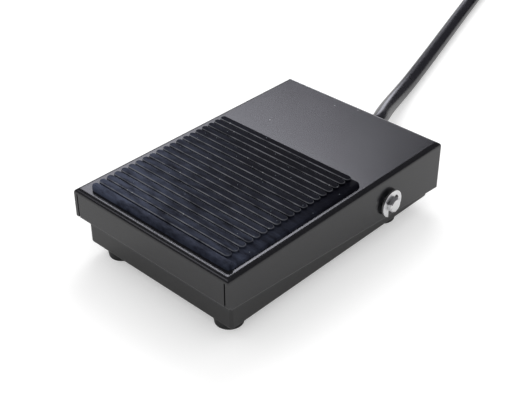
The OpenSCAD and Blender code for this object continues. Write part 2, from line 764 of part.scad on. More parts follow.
module lead_open() color([0.75, 0.1, 0.1]) lead(1, 0, 1.3);
module lead_closed() color([0.85, 0.85, 0.85]) lead(0, 1.15, -0.7);

module cord_tube() color([0.12, 0.12, 0.13]) tube(lay_points, cord_r, 10);

// The wound part of the cord, as one solid of its outer shape
module cord_coil() color([0.12, 0.12, 0.13]) {
    wide = coil_columns * cord_d;
    high = coil_layers * cord_d;
    translate([coil_x, coil_y, tie_t]) rotate_extrude($fn = 96)
        translate([coil_turn + cord_r - wide / 2, high / 2]) soft_square(wide, high, cord_r - 0.5);
}

function around(p) = [coil_x + p[0] * cos(p[1]), coil_y + p[0] * sin(p[1]), p[2]];
module cord_tail() color([0.12, 0.12, 0.13])
    tube([for (p = tail_points) around(p)], cord_r, 10);

// Three stripped conductors at the far end
module cord_ends() {
    last = tail_points[len(tail_points) - 1];
    for (k = [-1, 0, 1]) {
        base = around([last[0] + 1.9 * k, last[1], core_d / 2 + (k == 0 ? 1.9 : 0)]);
        translate(base) rotate([90, 0, last[1] + 6 * k]) {
            color([[0.1, 0.1, 0.1], [0.75, 0.1, 0.1], [0.85, 0.85, 0.85]][k + 1])
                cylinder(h = core_l, r = core_d / 2);
            color([0.8, 0.6, 0.4]) cylinder(h = core_l + bare_l, r = core_d / 2 - 0.45);
        }
    }
}

// Twist tie round the coil
module cord_tie() color([0.2, 0.2, 0.2]) {
    wide = coil_columns * cord_d;
    high = coil_layers * cord_d;
    translate([coil_x, coil_y, 0]) rotate(135)
        translate([coil_turn + cord_r - wide / 2, 0, tie_t + high / 2])
            rotate([90, 0, 0]) linear_extrude(5, center = true) difference() {
                soft_square(wide + 2 * tie_t, high + 2 * tie_t, 2);
                soft_square(wide + 0.3, high + 0.1, 1.6);
            }
}

// ---- Pieces ----

pedal_cover();
tread_pad();
actuator_stud();
spring_guide();
base_tray();
hinge_pin();
clip_left();
clip_right();
hinge_washers();
return_spring();
spring_seat();
travel_stops();
switch_case();
switch_cap();
switch_plunger();
switch_lever();
switch_terminals();
switch_bracket();
switch_screws();
switch_nuts();
bracket_screws();
bracket_nuts();
rubber_feet();
cord_relief();
cord_inlet();
cord_clamp();
clamp_screw();
lead_common();
lead_open();
lead_closed();
cord_tube();
cord_coil();
cord_tail();
cord_ends();
cord_tie();
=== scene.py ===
import math
import bmesh
import bpy
from mathutils import Matrix, Vector


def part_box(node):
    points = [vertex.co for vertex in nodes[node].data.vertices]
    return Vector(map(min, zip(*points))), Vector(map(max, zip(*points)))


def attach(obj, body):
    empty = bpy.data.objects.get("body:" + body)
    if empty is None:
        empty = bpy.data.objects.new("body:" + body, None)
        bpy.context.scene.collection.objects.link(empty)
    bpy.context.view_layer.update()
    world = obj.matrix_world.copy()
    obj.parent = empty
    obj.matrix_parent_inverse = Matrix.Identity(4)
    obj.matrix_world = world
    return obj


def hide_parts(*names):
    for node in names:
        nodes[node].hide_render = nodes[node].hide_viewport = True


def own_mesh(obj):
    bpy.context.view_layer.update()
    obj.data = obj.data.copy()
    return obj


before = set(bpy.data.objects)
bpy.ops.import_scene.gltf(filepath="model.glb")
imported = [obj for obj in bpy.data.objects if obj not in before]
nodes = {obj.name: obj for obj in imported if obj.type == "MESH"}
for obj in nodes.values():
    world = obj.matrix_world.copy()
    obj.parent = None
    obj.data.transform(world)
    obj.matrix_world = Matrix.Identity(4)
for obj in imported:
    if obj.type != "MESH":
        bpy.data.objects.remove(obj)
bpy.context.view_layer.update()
scene = bpy.context.scene
mm = 0.001  # sizes below are in mm and angles in degrees, unless a note says otherwise


def place(x, y, z):
    return Vector((x * mm, y * mm, z * mm))


view = {  # where the camera stands
    "lens": 73.2,
    "sensor": 36,
    "azimuth": 43.31,  # to the right of the toe end
    "elevation": 34.57,
    "roll": -0.12,
    "distance": 320.55,
    "target": (13.60, -15.85, 25.3),
    "near": 0.01,  # metres
    "far": 60,
}

studio = {
    "floorSize": 8.0,  # metres
    "floorColour": 0.80,
    "floorGlow": 0.36,  # added for the lens alone, so that the floor reads white round its shadow
    "ambient": 0.88,  # what dull surfaces get from all round
    "dim": 0.08,  # what polished surfaces see between the screens
    "screens": [  # azimuth from the rear towards the right, elevation, full and faded radius, strength
        (-51, 40, 1, 15.5, 3.9),  # soft box that lights the plate
        (-41, 42, 2, 7, 6.0),  # brighter spot on the plate
        (-53, 20, 3, 12, 0.75),  # weak screen below them
        (-36, 5, 4, 10, 3.0),  # rim light behind
        (225, 37, 5, 12, 1.6),  # screen at the toe end
    ],
    "screenTint": (0.965, 0.965, 1.07),
    "keyPower": 3.0,  # watts
    "keySize": 0.5,  # metres
    "keyAt": (-0.46, 0.58, 0.74),
}


def addCamera():
    azimuth, elevation = math.radians(view["azimuth"]), math.radians(view["elevation"])
    back = Vector((
        math.sin(azimuth) * math.cos(elevation),
        -math.cos(azimuth) * math.cos(elevation),
        math.sin(elevation),
    ))
    lens = bpy.data.cameras.new("camera")
    lens.lens = view["lens"]
    lens.sensor_width = view["sensor"]
    lens.clip_start = view["near"]
    lens.clip_end = view["far"]
    eye = bpy.data.objects.new("camera", lens)
    scene.collection.objects.link(eye)
    turned = back.to_track_quat("Z", "Y").to_matrix().to_4x4()
    rolled = Matrix.Rotation(math.radians(view["roll"]), 4, "Z")
    at = place(*view["target"]) + back * view["distance"] * mm
    eye.matrix_world = Matrix.Translation(at) @ turned @ rolled
    scene.camera = eye


def wire(tree, pairs):
    for source, target in pairs:
        tree.links.new(source, target)


def addNode(tree, kind, values=None, **settings):
    node = tree.nodes.new(kind)
    for name, value in settings.items():
        setattr(node, name, value)
    for name, value in (values or {}).items():
        node.inputs[name].default_value = value
    return node


def addMath(tree, operation, a, b=None, clamp=False):
    node = addNode(tree, "ShaderNodeMath", operation=operation, use_clamp=clamp)
    for socket, value in zip(node.inputs, (a, b)):
        if value is None:
            continue
        if isinstance(value, (int, float)):
            socket.default_value = value
        else:
            tree.links.new(value, socket)
    return node.outputs[0]


def addWorld():
    world = bpy.data.worlds.new("studio")
    scene.world = world
    world.use_nodes = True
    tree = world.node_tree
    tree.nodes.clear()
    path = addNode(tree, "ShaderNodeLightPath")
    coords = addNode(tree, "ShaderNodeTexCoord")
    sky = studio["dim"]
    for azimuth, elevation, full, faded, strength in studio["screens"]:
        a, e = math.radians(azimuth), math.radians(elevation)
        facing = addNode(tree, "ShaderNodeVectorMath", operation="DOT_PRODUCT")
        towards = (math.sin(a) * math.cos(e), math.cos(a) * math.cos(e), math.sin(e))
        facing.inputs[1].default_value = towards
        glow = addNode(tree, "ShaderNodeMapRange", {
            "From Min": math.cos(math.radians(faded)),
            "From Max": math.cos(math.radians(full)),
            "To Max": strength,
        }, interpolation_type="SMOOTHSTEP")
        wire(tree, [
            (coords.outputs["Generated"], facing.inputs[0]),
            (facing.outputs["Value"], glow.inputs["Value"]),
        ])
        sky = addMath(tree, "ADD", glow.outputs["Result"], sky)
    polished = addNode(tree, "ShaderNodeMix", data_type="FLOAT")
    polished.inputs["A"].default_value = studio["ambient"]
    wire(tree, [
        (path.outputs["Is Glossy Ray"], polished.inputs["Factor"]),
        (sky, polished.inputs["B"]),
    ])
    seen = addNode(tree, "ShaderNodeMix", data_type="FLOAT")
    seen.inputs["B"].default_value = 1.0
    clear = addMath(tree, "MAXIMUM", path.outputs["Is Camera Ray"], path.outputs["Is Transmission Ray"])
    wire(tree, [(clear, seen.inputs["Factor"]), (polished.outputs["Result"], seen.inputs["A"])])
    background = addNode(tree, "ShaderNodeBackground")
    output = addNode(tree, "ShaderNodeOutputWorld")
    tint = colourBetween(tree, path.outputs["Is Glossy Ray"], (1, 1, 1), studio["screenTint"])
    wire(tree, [
        (tint, background.inputs["Color"]),
        (seen.outputs["Result"], background.inputs["Strength"]),
        (background.outputs["Background"], output.inputs["Surface"]),
    ])


def addFloor():
    half = studio["floorSize"] / 2
    mesh = bpy.data.meshes.new("floor")
    corners = [(-half, -half, 0), (half, -half, 0), (half, half, 0), (-half, half, 0)]
    mesh.from_pydata(corners, [], [(0, 1, 2, 3)])
    floor = bpy.data.objects.new("floor", mesh)
    scene.collection.objects.link(floor)
    material = bpy.data.materials.new("floorPaper")
    material.use_nodes = True
    tree = material.node_tree
    tree.nodes.clear()
    path = addNode(tree, "ShaderNodeLightPath")
    paper = addNode(tree, "ShaderNodeBsdfDiffuse", {"Color": (studio["floorColour"],) * 3 + (1,)})
    glow = addNode(tree, "ShaderNodeEmission", {"Color": (1, 1, 1, 1)})
    strength = addMath(tree, "MULTIPLY", path.outputs["Is Camera Ray"], studio["floorGlow"])
    both = addNode(tree, "ShaderNodeAddShader")
    output = addNode(tree, "ShaderNodeOutputMaterial")
    wire(tree, [
        (strength, glow.inputs["Strength"]),
        (paper.outputs[0], both.inputs[0]),
        (glow.outputs[0], both.inputs[1]),
        (both.outputs[0], output.inputs["Surface"]),
    ])
    mesh.materials.append(material)


def addLights():
    light = bpy.data.lights.new("softKey", "AREA")
    light.shape = "SQUARE"
    light.size = studio["keySize"]
    light.energy = studio["keyPower"]
    lamp = bpy.data.objects.new("softKey", light)
    scene.collection.objects.link(lamp)
    lamp.visible_glossy = False  # the screens are what shows in polished surfaces
    at = Vector(studio["keyAt"])
    lamp.matrix_world = Matrix.Translation(at) @ at.to_track_quat("Z", "Y").to_matrix().to_4x4()


def newGroup(name, inputs, outputs):
    group = bpy.data.node_groups.new(name, "ShaderNodeTree")
    for socket, value in inputs.items():
        made = group.interface.new_socket(socket, in_out="INPUT", socket_type="NodeSocketFloat")
        made.default_value = value
    for socket in outputs:
        group.interface.new_socket(socket, in_out="OUTPUT", socket_type="NodeSocketFloat")
    return group, group.nodes.new("NodeGroupInput"), group.nodes.new("NodeGroupOutput")


def makeGrain():
    # fine pebbling of a sprayed or moulded skin, with a slow variation over it
    group, given, result = newGroup("grain", {"Size": 0.6, "Drift": 18.0}, ["Height", "Tone"])
    coords = addNode(group, "ShaderNodeTexCoord")
    scale = addMath(group, "DIVIDE", 1000.0, given.outputs["Size"])
    fine = addNode(group, "ShaderNodeTexNoise", {"Detail": 3.0, "Roughness": 0.6})
    slow = addNode(group, "ShaderNodeTexNoise", {"Detail": 4.0, "Roughness": 0.55})
    wire(group, [
        (coords.outputs["Object"], fine.inputs["Vector"]),
        (coords.outputs["Object"], slow.inputs["Vector"]),
        (scale, fine.inputs["Scale"]),
        (given.outputs["Drift"], slow.inputs["Scale"]),
        (fine.outputs["Fac"], result.inputs["Height"]),
        (slow.outputs["Fac"], result.inputs["Tone"]),
    ])
    return group


def makeSpecks():
    # a few pale specks on whatever faces up: dust grains, and the painted glints on the tread's ribs
    group, given, result = newGroup("specks", {
        "Spacing": 6.0, "Share": 0.2, "Radius": 0.1, "Facing": 0.3,
    }, ["Mask"])
    coords = addNode(group, "ShaderNodeTexCoord")
    cells = addNode(group, "ShaderNodeTexVoronoi", {"Randomness": 1.0},
                    voronoi_dimensions="2D", feature="F1")
    scale = addMath(group, "DIVIDE", 1000.0, given.outputs["Spacing"])
    reach = addMath(group, "DIVIDE", given.outputs["Radius"], given.outputs["Spacing"])
    near = addMath(group, "LESS_THAN", cells.outputs["Distance"], reach)
    split = addNode(group, "ShaderNodeSeparateColor")
    chosen = addMath(group, "LESS_THAN", split.outputs["Red"], given.outputs["Share"])
    facing = addNode(group, "ShaderNodeSeparateXYZ")
    lying = addMath(group, "GREATER_THAN", facing.outputs["Z"], given.outputs["Facing"])
    mask = addMath(group, "MULTIPLY", addMath(group, "MULTIPLY", near, chosen), lying)
    wire(group, [
        (coords.outputs["Object"], cells.inputs["Vector"]),
        (coords.outputs["Normal"], facing.inputs[0]),
        (scale, cells.inputs["Scale"]),
        (cells.outputs["Color"], split.inputs["Color"]),
        (mask, result.inputs["Mask"]),
    ])
    return group


def startMaterial(name):
    material = bpy.data.materials.new(name)
    material.use_nodes = True
    tree = material.node_tree
    return material, tree, tree.nodes["Principled BSDF"]


def placeGroup(tree, group, **values):
    node = addNode(tree, "ShaderNodeGroup", node_tree=group)
    for name, value in values.items():
        node.inputs[name].default_value = value
    return node


def colourBetween(tree, factor, dark, light):
    mix = addNode(tree, "ShaderNodeMix", data_type="RGBA")
    mix.inputs["A"].default_value = (*dark, 1)
    mix.inputs["B"].default_value = (*light, 1)
    tree.links.new(factor, mix.inputs["Factor"])
    return mix.outputs["Result"]


def over(tree, mask, under, colour):
    # lays a plain colour over another where the mask says so
    mix = addNode(tree, "ShaderNodeMix", data_type="RGBA")
    mix.inputs["B"].default_value = (*colour, 1)
    wire(tree, [(mask, mix.inputs["Factor"]), (under, mix.inputs["A"])])
    return mix.outputs["Result"]


def rangeOf(tree, value, low, high, toLow, toHigh):
    node = addNode(tree, "ShaderNodeMapRange", {
        "From Min": low, "From Max": high, "To Min": toLow, "To Max": toHigh,
    })
    tree.links.new(value, node.inputs["Value"])
    return node.outputs["Result"]


def bumpFrom(tree, height, depth, shader):
    bump = addNode(tree, "ShaderNodeBump", {"Strength": 1.0, "Distance": depth * mm})
    wire(tree, [(height, bump.inputs["Height"]), (bump.outputs["Normal"], shader.inputs["Normal"])])


skins = {  # drift is the scale of the slow variation, and roughness how far it takes the roughness
    "paint": {"size": 0.55, "drift": 22.0, "roughness": (-0.03, 0.04), "depth": 0.012},
    "rubber": {"size": 0.45, "drift": 40.0, "roughness": (-0.05, 0.06), "depth": 0.02},
    "tread": {"size": 0.4, "drift": 60.0, "roughness": (-0.05, 0.05), "depth": 0.015},
    "metal": {"size": 0.35, "drift": 160.0, "roughness": (-0.06, 0.08), "depth": 0.004},
    "plastic": {"size": 0.3, "drift": 60.0, "roughness": (-0.04, 0.05), "depth": 0.006},
}
toneSpan = (0.3, 0.7)  # where the slow variation mostly lies


def skinOn(tree, shader, grain, skin, roughness):
    # gives the shader the skin's relief and roughness, and puts out the slow variation from 0 to 1
    made = placeGroup(tree, grain, Size=skin["size"], Drift=skin["drift"])
    least, most = (roughness + change for change in skin["roughness"])
    tree.links.new(rangeOf(tree, made.outputs["Tone"], *toneSpan, least, most), shader.inputs["Roughness"])
    bumpFrom(tree, made.outputs["Height"], skin["depth"], shader)
    return rangeOf(tree, made.outputs["Tone"], *toneSpan, 0.0, 1.0)


coat = {
    "dust": {"Spacing": 9.0, "Share": 0.16, "Radius": 0.13},
    # also the colour of the painted highlight along the lower edge
    "dustColour": (0.45, 0.45, 0.47),
    "hemFrom": -50.0,  # y between which the side's lower edge rises
    "hemTo": 50.0,
    "frontWall": -48.8,  # y before which a surface belongs to the front wall
    "hemHeights": (0.38, 0.22),  # above the edge, where the painted highlight starts and where it is full
    "hemHighlightShare": 0.075,
    "specular": 0.62,
}


def hemHighlight(tree, hem):
    # painted highlight along the lower edge, at its height in front and at the side's two ends
    front, side, rear = (height * mm for height in hem)
    coords = addNode(tree, "ShaderNodeTexCoord")
    split = addNode(tree, "ShaderNodeSeparateXYZ")
    tree.links.new(coords.outputs["Object"], split.inputs[0])
    y, z = split.outputs["Y"], split.outputs["Z"]
    sideEdge = rangeOf(tree, y, coat["hemFrom"] * mm, coat["hemTo"] * mm, side, rear)
    frontEdge = addMath(tree, "MULTIPLY", addMath(tree, "LESS_THAN", y, coat["frontWall"] * mm), front)
    above = addMath(tree, "SUBTRACT", z, addMath(tree, "MAXIMUM", sideEdge, frontEdge))
    starts, full = coat["hemHeights"]
    return rangeOf(tree, above, starts * mm, full * mm, 0.0, coat["hemHighlightShare"])


def makePaint(name, grain, specks, dark, light, roughness, hem=None):
    # satin powder coat, dusty here and there, with a painted highlight along the lower edge where a hem is
    # given
    material, tree, shader = startMaterial(name)
    tone = skinOn(tree, shader, grain, skins["paint"], roughness)
    pale = placeGroup(tree, specks, **coat["dust"]).outputs["Mask"]
    # adds the painted highlight along the lower edge to the dust
    if hem:
        pale = addMath(tree, "ADD", pale, hemHighlight(tree, hem), clamp=True)
    colour = over(tree, pale, colourBetween(tree, tone, dark, light), coat["dustColour"])
    tree.links.new(colour, shader.inputs["Base Color"])
    shader.inputs["Specular IOR Level"].default_value = coat["specular"]
    return material


rubber = {
    "dust": {"Spacing": 5.0, "Share": 0.2, "Radius": 0.13},
    "dustColour": (0.38, 0.42, 0.46),
}


def makeRubber(name, grain, specks, dark, light, roughness):
    material, tree, shader = startMaterial(name)
    tone = skinOn(tree, shader, grain, skins["rubber"], roughness)
    dust = placeGroup(tree, specks, **rubber["dust"])
    colour = over(tree, dust.outputs["Mask"], colourBetween(tree, tone, dark, light), rubber["dustColour"])
    tree.links.new(colour, shader.inputs["Base Color"])
    return material


treadLook = {
    "roughness": 0.49,
    "specular": 0.025,
    "black": (0.0030, 0.0030, 0.0056),
    # colour of the painted bluish sheen
    "sheenColour": (0.052, 0.060, 0.090),
    "toeSheen": (10, -44),  # y where the painted sheen starts and where it is full
    "toePower": 1.6,
    "toeShare": 0.42,
    "leftSheen": (0, -27),  # x where it starts and is full
    "leftShare": 0.08,
    "leftAtToe": 0.5,  # what the left gains at the toe end
    "lipEndHighlight": (-27.3, -45.6, 27.2),  # the lip's left end, where a highlight is painted
    "lipEndHighlightReach": (2.2, 0.6),
    "lipEndHighlightShare": 0.7,
    "streaks": {"Scale": 480.0, "Detail": 5.0, "Roughness": 0.7},
    "streakLay": (0.3, 1.0, 0.4),  # the smaller, the longer the streaks are along that axis
    "patches": (0.32, 0.68, 0.2, 1.9),  # streaks from, to, and what they leave of the painted sheen
    "shoulder": (0.93, 0.84),  # how far a surface faces up where the ribs' dust and painted highlight start and are full
    "wall": (0.2, 0.4),  # and where it has ended again
    "gaps": (0.34, 0.60, 0.18, 1.0),  # streaks from, to, and what they leave of the ribs' dust and painted highlight
    "thinning": 3,  # length over which the ribs' dust and painted highlight thin out at their right ends
    "thinned": 0.3,
    # colours of the dust and painted highlight on the ribs' shoulders, and of the painted glints among it
    "shoulderDustAndHighlight": (0.19, 0.195, 0.215),
    "glint": (0.75, 0.78, 0.82),
    # painted glints, laid on the ribs' shoulders
    "glints": {"Spacing": 2.4, "Share": 0.3, "Radius": 0.16},
    "dust": {"Spacing": 4.2, "Share": 0.22, "Radius": 0.1},
    "dustColour": (0.30, 0.34, 0.38),
}


def paintedSheen(tree, coords, split):
    # painted bluish sheen, stronger towards the toe end and the left, with a painted highlight at the
    # lip's left end
    toe = rangeOf(tree, split.outputs["Y"], *(y * mm for y in treadLook["toeSheen"]), 0.0, 1.0)
    left = rangeOf(tree, split.outputs["X"], *(x * mm for x in treadLook["leftSheen"]), 0.0, 1.0)
    atToe = addMath(tree, "MULTIPLY", toe, treadLook["leftAtToe"])
    gain = addMath(tree, "ADD", atToe, treadLook["leftShare"])
    curved = addMath(tree, "POWER", toe, treadLook["toePower"])
    fromToe = addMath(tree, "MULTIPLY", curved, treadLook["toeShare"])
    sheen = addMath(tree, "ADD", fromToe, addMath(tree, "MULTIPLY", left, gain))
    toLipEnd = addNode(tree, "ShaderNodeVectorMath", operation="DISTANCE")
    toLipEnd.inputs[1].default_value = place(*treadLook["lipEndHighlight"])
    tree.links.new(coords.outputs["Object"], toLipEnd.inputs[0])
    far, near = treadLook["lipEndHighlightReach"]
    lipEndHighlight = rangeOf(tree, toLipEnd.outputs["Value"], far * mm, near * mm, 0.0, treadLook["lipEndHighlightShare"])
    return addMath(tree, "ADD", sheen, lipEndHighlight)


def ribDustAndHighlight(tree, coords, split, streaks):
    # dust and a painted highlight along the ribs' shoulders
    lean = addNode(tree, "ShaderNodeSeparateXYZ")
    tree.links.new(coords.outputs["Normal"], lean.inputs[0])
    starts = rangeOf(tree, lean.outputs["Z"], *treadLook["shoulder"], 0.0, 1.0)
    ends = rangeOf(tree, lean.outputs["Z"], *treadLook["wall"], 0.0, 1.0)
    shoulder = addMath(tree, "MULTIPLY", starts, ends)
    x, y, end = split.outputs["X"], split.outputs["Y"], tread["ribsEnd"]
    onRibs = addMath(tree, "MULTIPLY", addMath(tree, "GREATER_THAN", y, tread["behindLip"] * mm),
                     addMath(tree, "LESS_THAN", x, end * mm))
    thinning = rangeOf(tree, x, (end - treadLook["thinning"]) * mm, end * mm, 1.0, treadLook["thinned"])
    broken = rangeOf(tree, streaks.outputs["Fac"], *treadLook["gaps"])
    return addMath(tree, "MULTIPLY", addMath(tree, "MULTIPLY", shoulder, onRibs),
                   addMath(tree, "MULTIPLY", broken, thinning))


def makeTreadRubber(grain, specks):
    # nearly black, with a painted bluish sheen in streaks, dust and a painted highlight along the ribs
    # with painted glints, and a few dust specks
    material, tree, shader = startMaterial("treadRubber")
    skinOn(tree, shader, grain, skins["tread"], treadLook["roughness"])
    coords = addNode(tree, "ShaderNodeTexCoord")
    split = addNode(tree, "ShaderNodeSeparateXYZ")
    streaks = addNode(tree, "ShaderNodeTexNoise", treadLook["streaks"])
    along = addNode(tree, "ShaderNodeVectorMath", operation="MULTIPLY")
    along.inputs[1].default_value = treadLook["streakLay"]
    wire(tree, [
        (coords.outputs["Object"], split.inputs[0]),
        (coords.outputs["Object"], along.inputs[0]),
        (along.outputs[0], streaks.inputs["Vector"]),
    ])
    patches = rangeOf(tree, streaks.outputs["Fac"], *treadLook["patches"])
    patchy = addMath(tree, "MULTIPLY", paintedSheen(tree, coords, split), patches, clamp=True)
    colour = colourBetween(tree, patchy, treadLook["black"], treadLook["sheenColour"])
    glints = placeGroup(tree, specks, **treadLook["glints"])
    dustedAndHighlit = addNode(tree, "ShaderNodeMix", data_type="RGBA")
    shoulderDustAndHighlight = colourBetween(tree, glints.outputs["Mask"], treadLook["shoulderDustAndHighlight"], treadLook["glint"])
    wire(tree, [
        (ribDustAndHighlight(tree, coords, split, streaks), dustedAndHighlit.inputs["Factor"]),
        (colour, dustedAndHighlit.inputs["A"]),
        (shoulderDustAndHighlight, dustedAndHighlit.inputs["B"]),
    ])
    dust = placeGroup(tree, specks, **treadLook["dust"])
    marked = over(tree, dust.outputs["Mask"], dustedAndHighlit.outputs["Result"], treadLook["dustColour"])
    tree.links.new(marked, shader.inputs["Base Color"])
    shader.inputs["Specular IOR Level"].default_value = treadLook["specular"]
    return material


def makePlain(name, grain, skin, dark, light, roughness, metallic=0.0):
    material, tree, shader = startMaterial(name)
    shader.inputs["Metallic"].default_value = metallic
    tone = skinOn(tree, shader, grain, skins[skin], roughness)
    tree.links.new(colourBetween(tree, tone, dark, light), shader.inputs["Base Color"])
    return material


coverHem = (15.1, 14.28, 7.54)  # height of the cover's lower edge: front, side, side's rear end

paints = {  # dark and light tone, roughness, hem
    "coverPaint": ((0.007, 0.007, 0.0085), (0.0105, 0.0103, 0.012), 0.23, coverHem),
    "trayPaint": ((0.009, 0.009, 0.0095), (0.014, 0.0138, 0.0145), 0.38),
}
rubbers = {
    "footRubber": ((0.012, 0.012, 0.013), (0.02, 0.02, 0.021), 0.55),
    "reliefRubber": ((0.012, 0.012, 0.013), (0.019, 0.019, 0.02), 0.42),
}
metals = {
    "zincPlate": ((0.80, 0.80, 0.81), (0.93, 0.93, 0.94), 0.30),
    "springWire": ((0.50, 0.50, 0.52), (0.62, 0.62, 0.64), 0.22),
    "tinnedBrass": ((0.66, 0.55, 0.30), (0.80, 0.70, 0.44), 0.3),
    "copperStrand": ((0.74, 0.36, 0.20), (0.88, 0.50, 0.32), 0.28),
}
plastics = {
    "nylon": ((0.66, 0.66, 0.58), (0.76, 0.76, 0.70), 0.42),
    "switchPlastic": ((0.014, 0.014, 0.015), (0.024, 0.024, 0.026), 0.45),
    "plungerPlastic": ((0.42, 0.035, 0.02), (0.55, 0.06, 0.04), 0.4),
    "cordJacket": ((0.009, 0.0088, 0.012), (0.016, 0.0155, 0.020), 0.25),
    "tiePlastic": ((0.02, 0.02, 0.022), (0.03, 0.03, 0.032), 0.5),
    "blackLead": ((0.018, 0.018, 0.018), (0.028, 0.028, 0.028), 0.35),
    "redLead": ((0.40, 0.022, 0.016), (0.50, 0.035, 0.028), 0.35),
    "whiteLead": ((0.66, 0.66, 0.63), (0.76, 0.76, 0.74), 0.35),
}


def makeMaterials():
    grain, specks = makeGrain(), makeSpecks()
    made = {"treadRubber": makeTreadRubber(grain, specks)}
    for name, look in paints.items():
        made[name] = makePaint(name, grain, specks, *look)
    for name, look in rubbers.items():
        made[name] = makeRubber(name, grain, specks, *look)
    for name, look in metals.items():
        made[name] = makePlain(name, grain, "metal", *look, metallic=1.0)
    for name, look in plastics.items():
        made[name] = makePlain(name, grain, "plastic", *look)
    return made


finishOf = {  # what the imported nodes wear
    "coverPaint": ["pedal_cover"],
    "trayPaint": ["base_tray"],
    "footRubber": ["rubber_feet", "travel_stops"],
    "reliefRubber": ["cord_relief"],
    "zincPlate": [
        "hinge_pin", "clip_left", "clip_right", "actuator_stud", "spring_guide", "spring_seat",
        "switch_bracket", "switch_screws", "switch_nuts", "bracket_screws", "bracket_nuts",
        "cord_clamp", "clamp_screw",
    ],
    "springWire": ["switch_lever"],
    "tinnedBrass": ["switch_terminals"],
    "nylon": ["hinge_washers"],
    "switchPlastic": ["switch_case", "switch_cap"],
    "plungerPlastic": ["switch_plunger"],
    "tiePlastic": ["cord_tie"],
    "blackLead": ["lead_common"],
    "redLead": ["lead_open"],
    "whiteLead": ["lead_closed"],
}


def dressNodes():
    for finish, names in finishOf.items():
        for name in names:
            mesh = nodes[name].data
            mesh.materials.clear()
            mesh.materials.append(materials[finish])
    print("packed nodes", sum(len(names) for names in finishOf.values()))


def newGeometryGroup(name, inputs):
    group = bpy.data.node_groups.new(name, "GeometryNodeTree")
    group.interface.new_socket("Geometry", in_out="INPUT", socket_type="NodeSocketGeometry")
    for socket, (kind, value) in inputs.items():
        made = group.interface.new_socket(socket, in_out="INPUT", socket_type="NodeSocket" + kind)
        if kind != "Material":
            made.default_value = value
    group.interface.new_socket("Geometry", in_out="OUTPUT", socket_type="NodeSocketGeometry")
    return group, group.nodes.new("NodeGroupInput"), group.nodes.new("NodeGroupOutput")


def grow(name, mesh, group, values):
    # runs a tree on a mesh and keeps the result as a plain mesh
    source = bpy.data.objects.new(name + "Source", mesh)
    scene.collection.objects.link(source)
    modifier = source.modifiers.new("grow", "NODES")
    modifier.node_group = group
    for item in group.interface.items_tree:
        if item.in_out == "INPUT" and item.name in values:
            modifier[item.identifier] = values[item.name]
    bpy.context.view_layer.update()
    grown = source.evaluated_get(bpy.context.evaluated_depsgraph_get())
    result = bpy.data.meshes.new_from_object(grown)
    source.modifiers.remove(modifier)
    bpy.data.objects.remove(source)
    result.name = name
    return result


def makeRoundWire():
    # a round wire along every chain of edges
    group, given, result = newGeometryGroup("roundWire", {
        "Radius": ("Float", 0.001), "Sides": ("Int", 16), "Finish": ("Material", None),
    })
    curve = addNode(group, "GeometryNodeMeshToCurve")
    circle = addNode(group, "GeometryNodeCurvePrimitiveCircle")
    swept = addNode(group, "GeometryNodeCurveToMesh", {"Fill Caps": True})
    smooth = addNode(group, "GeometryNodeSetShadeSmooth")
    real = addNode(group, "GeometryNodeRealizeInstances")
    finish = addNode(group, "GeometryNodeSetMaterial")
    wire(group, [
        (given.outputs["Geometry"], curve.inputs["Mesh"]),
        (given.outputs["Sides"], circle.inputs["Resolution"]),
        (given.outputs["Radius"], circle.inputs["Radius"]),
        (curve.outputs["Curve"], swept.inputs["Curve"]),
        (circle.outputs["Curve"], swept.inputs["Profile Curve"]),
        (swept.outputs["Mesh"], smooth.inputs["Geometry"]),
        (smooth.outputs["Geometry"], real.inputs["Geometry"]),
        (real.outputs["Geometry"], finish.inputs["Geometry"]),
        (given.outputs["Finish"], finish.inputs["Material"]),
        (finish.outputs["Geometry"], result.inputs["Geometry"]),
    ])
    return group


def chainMesh(name, routes):
    points, edges = [], []
    for route in routes:
        first = len(points)
        points += [tuple(p) for p in route]
        edges += [(first + k, first + k + 1) for k in range(len(route) - 1)]
    mesh = bpy.data.meshes.new(name)
    mesh.from_pydata(points, edges, [])
    return mesh


def outward(mesh):
    shape = bmesh.new()
    shape.from_mesh(mesh)
    bmesh.ops.remove_doubles(shape, verts=shape.verts, dist=1e-7)
    bmesh.ops.recalc_face_normals(shape, faces=shape.faces)
    shape.to_mesh(mesh)
    shape.free()


def addPiece(name, mesh, body, replaced=()):
    piece = bpy.data.objects.new(name, mesh)
    scene.collection.objects.link(piece)
    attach(piece, body)
    if replaced:
        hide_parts(*replaced)
    return piece


def addWire(name, routes, radius, sides, finish, body, replaced=()):
    mesh = grow(name, chainMesh(name + "Route", routes), roundWire, {
        "Radius": radius * mm, "Sides": sides, "Finish": materials[finish],
    })
    outward(mesh)
    return addPiece(name, mesh, body, replaced)


def smoothLine(points, step):
    # Catmull-Rom curve through the points, with a point about every step
    line = []
    ends = [2 * points[0] - points[1], *points, 2 * points[-1] - points[-2]]
    for a, b, c, d in zip(ends, ends[1:], ends[2:], ends[3:]):
        count = max(1, round((c - b).length / step))
        for k in range(count):
            t = k / count
            second, third = 2 * a - 5 * b + 4 * c - d, 3 * b - a - 3 * c + d
            line.append(0.5 * (2 * b + (c - a) * t + second * t * t + third * t ** 3))
    return line + [points[-1]]


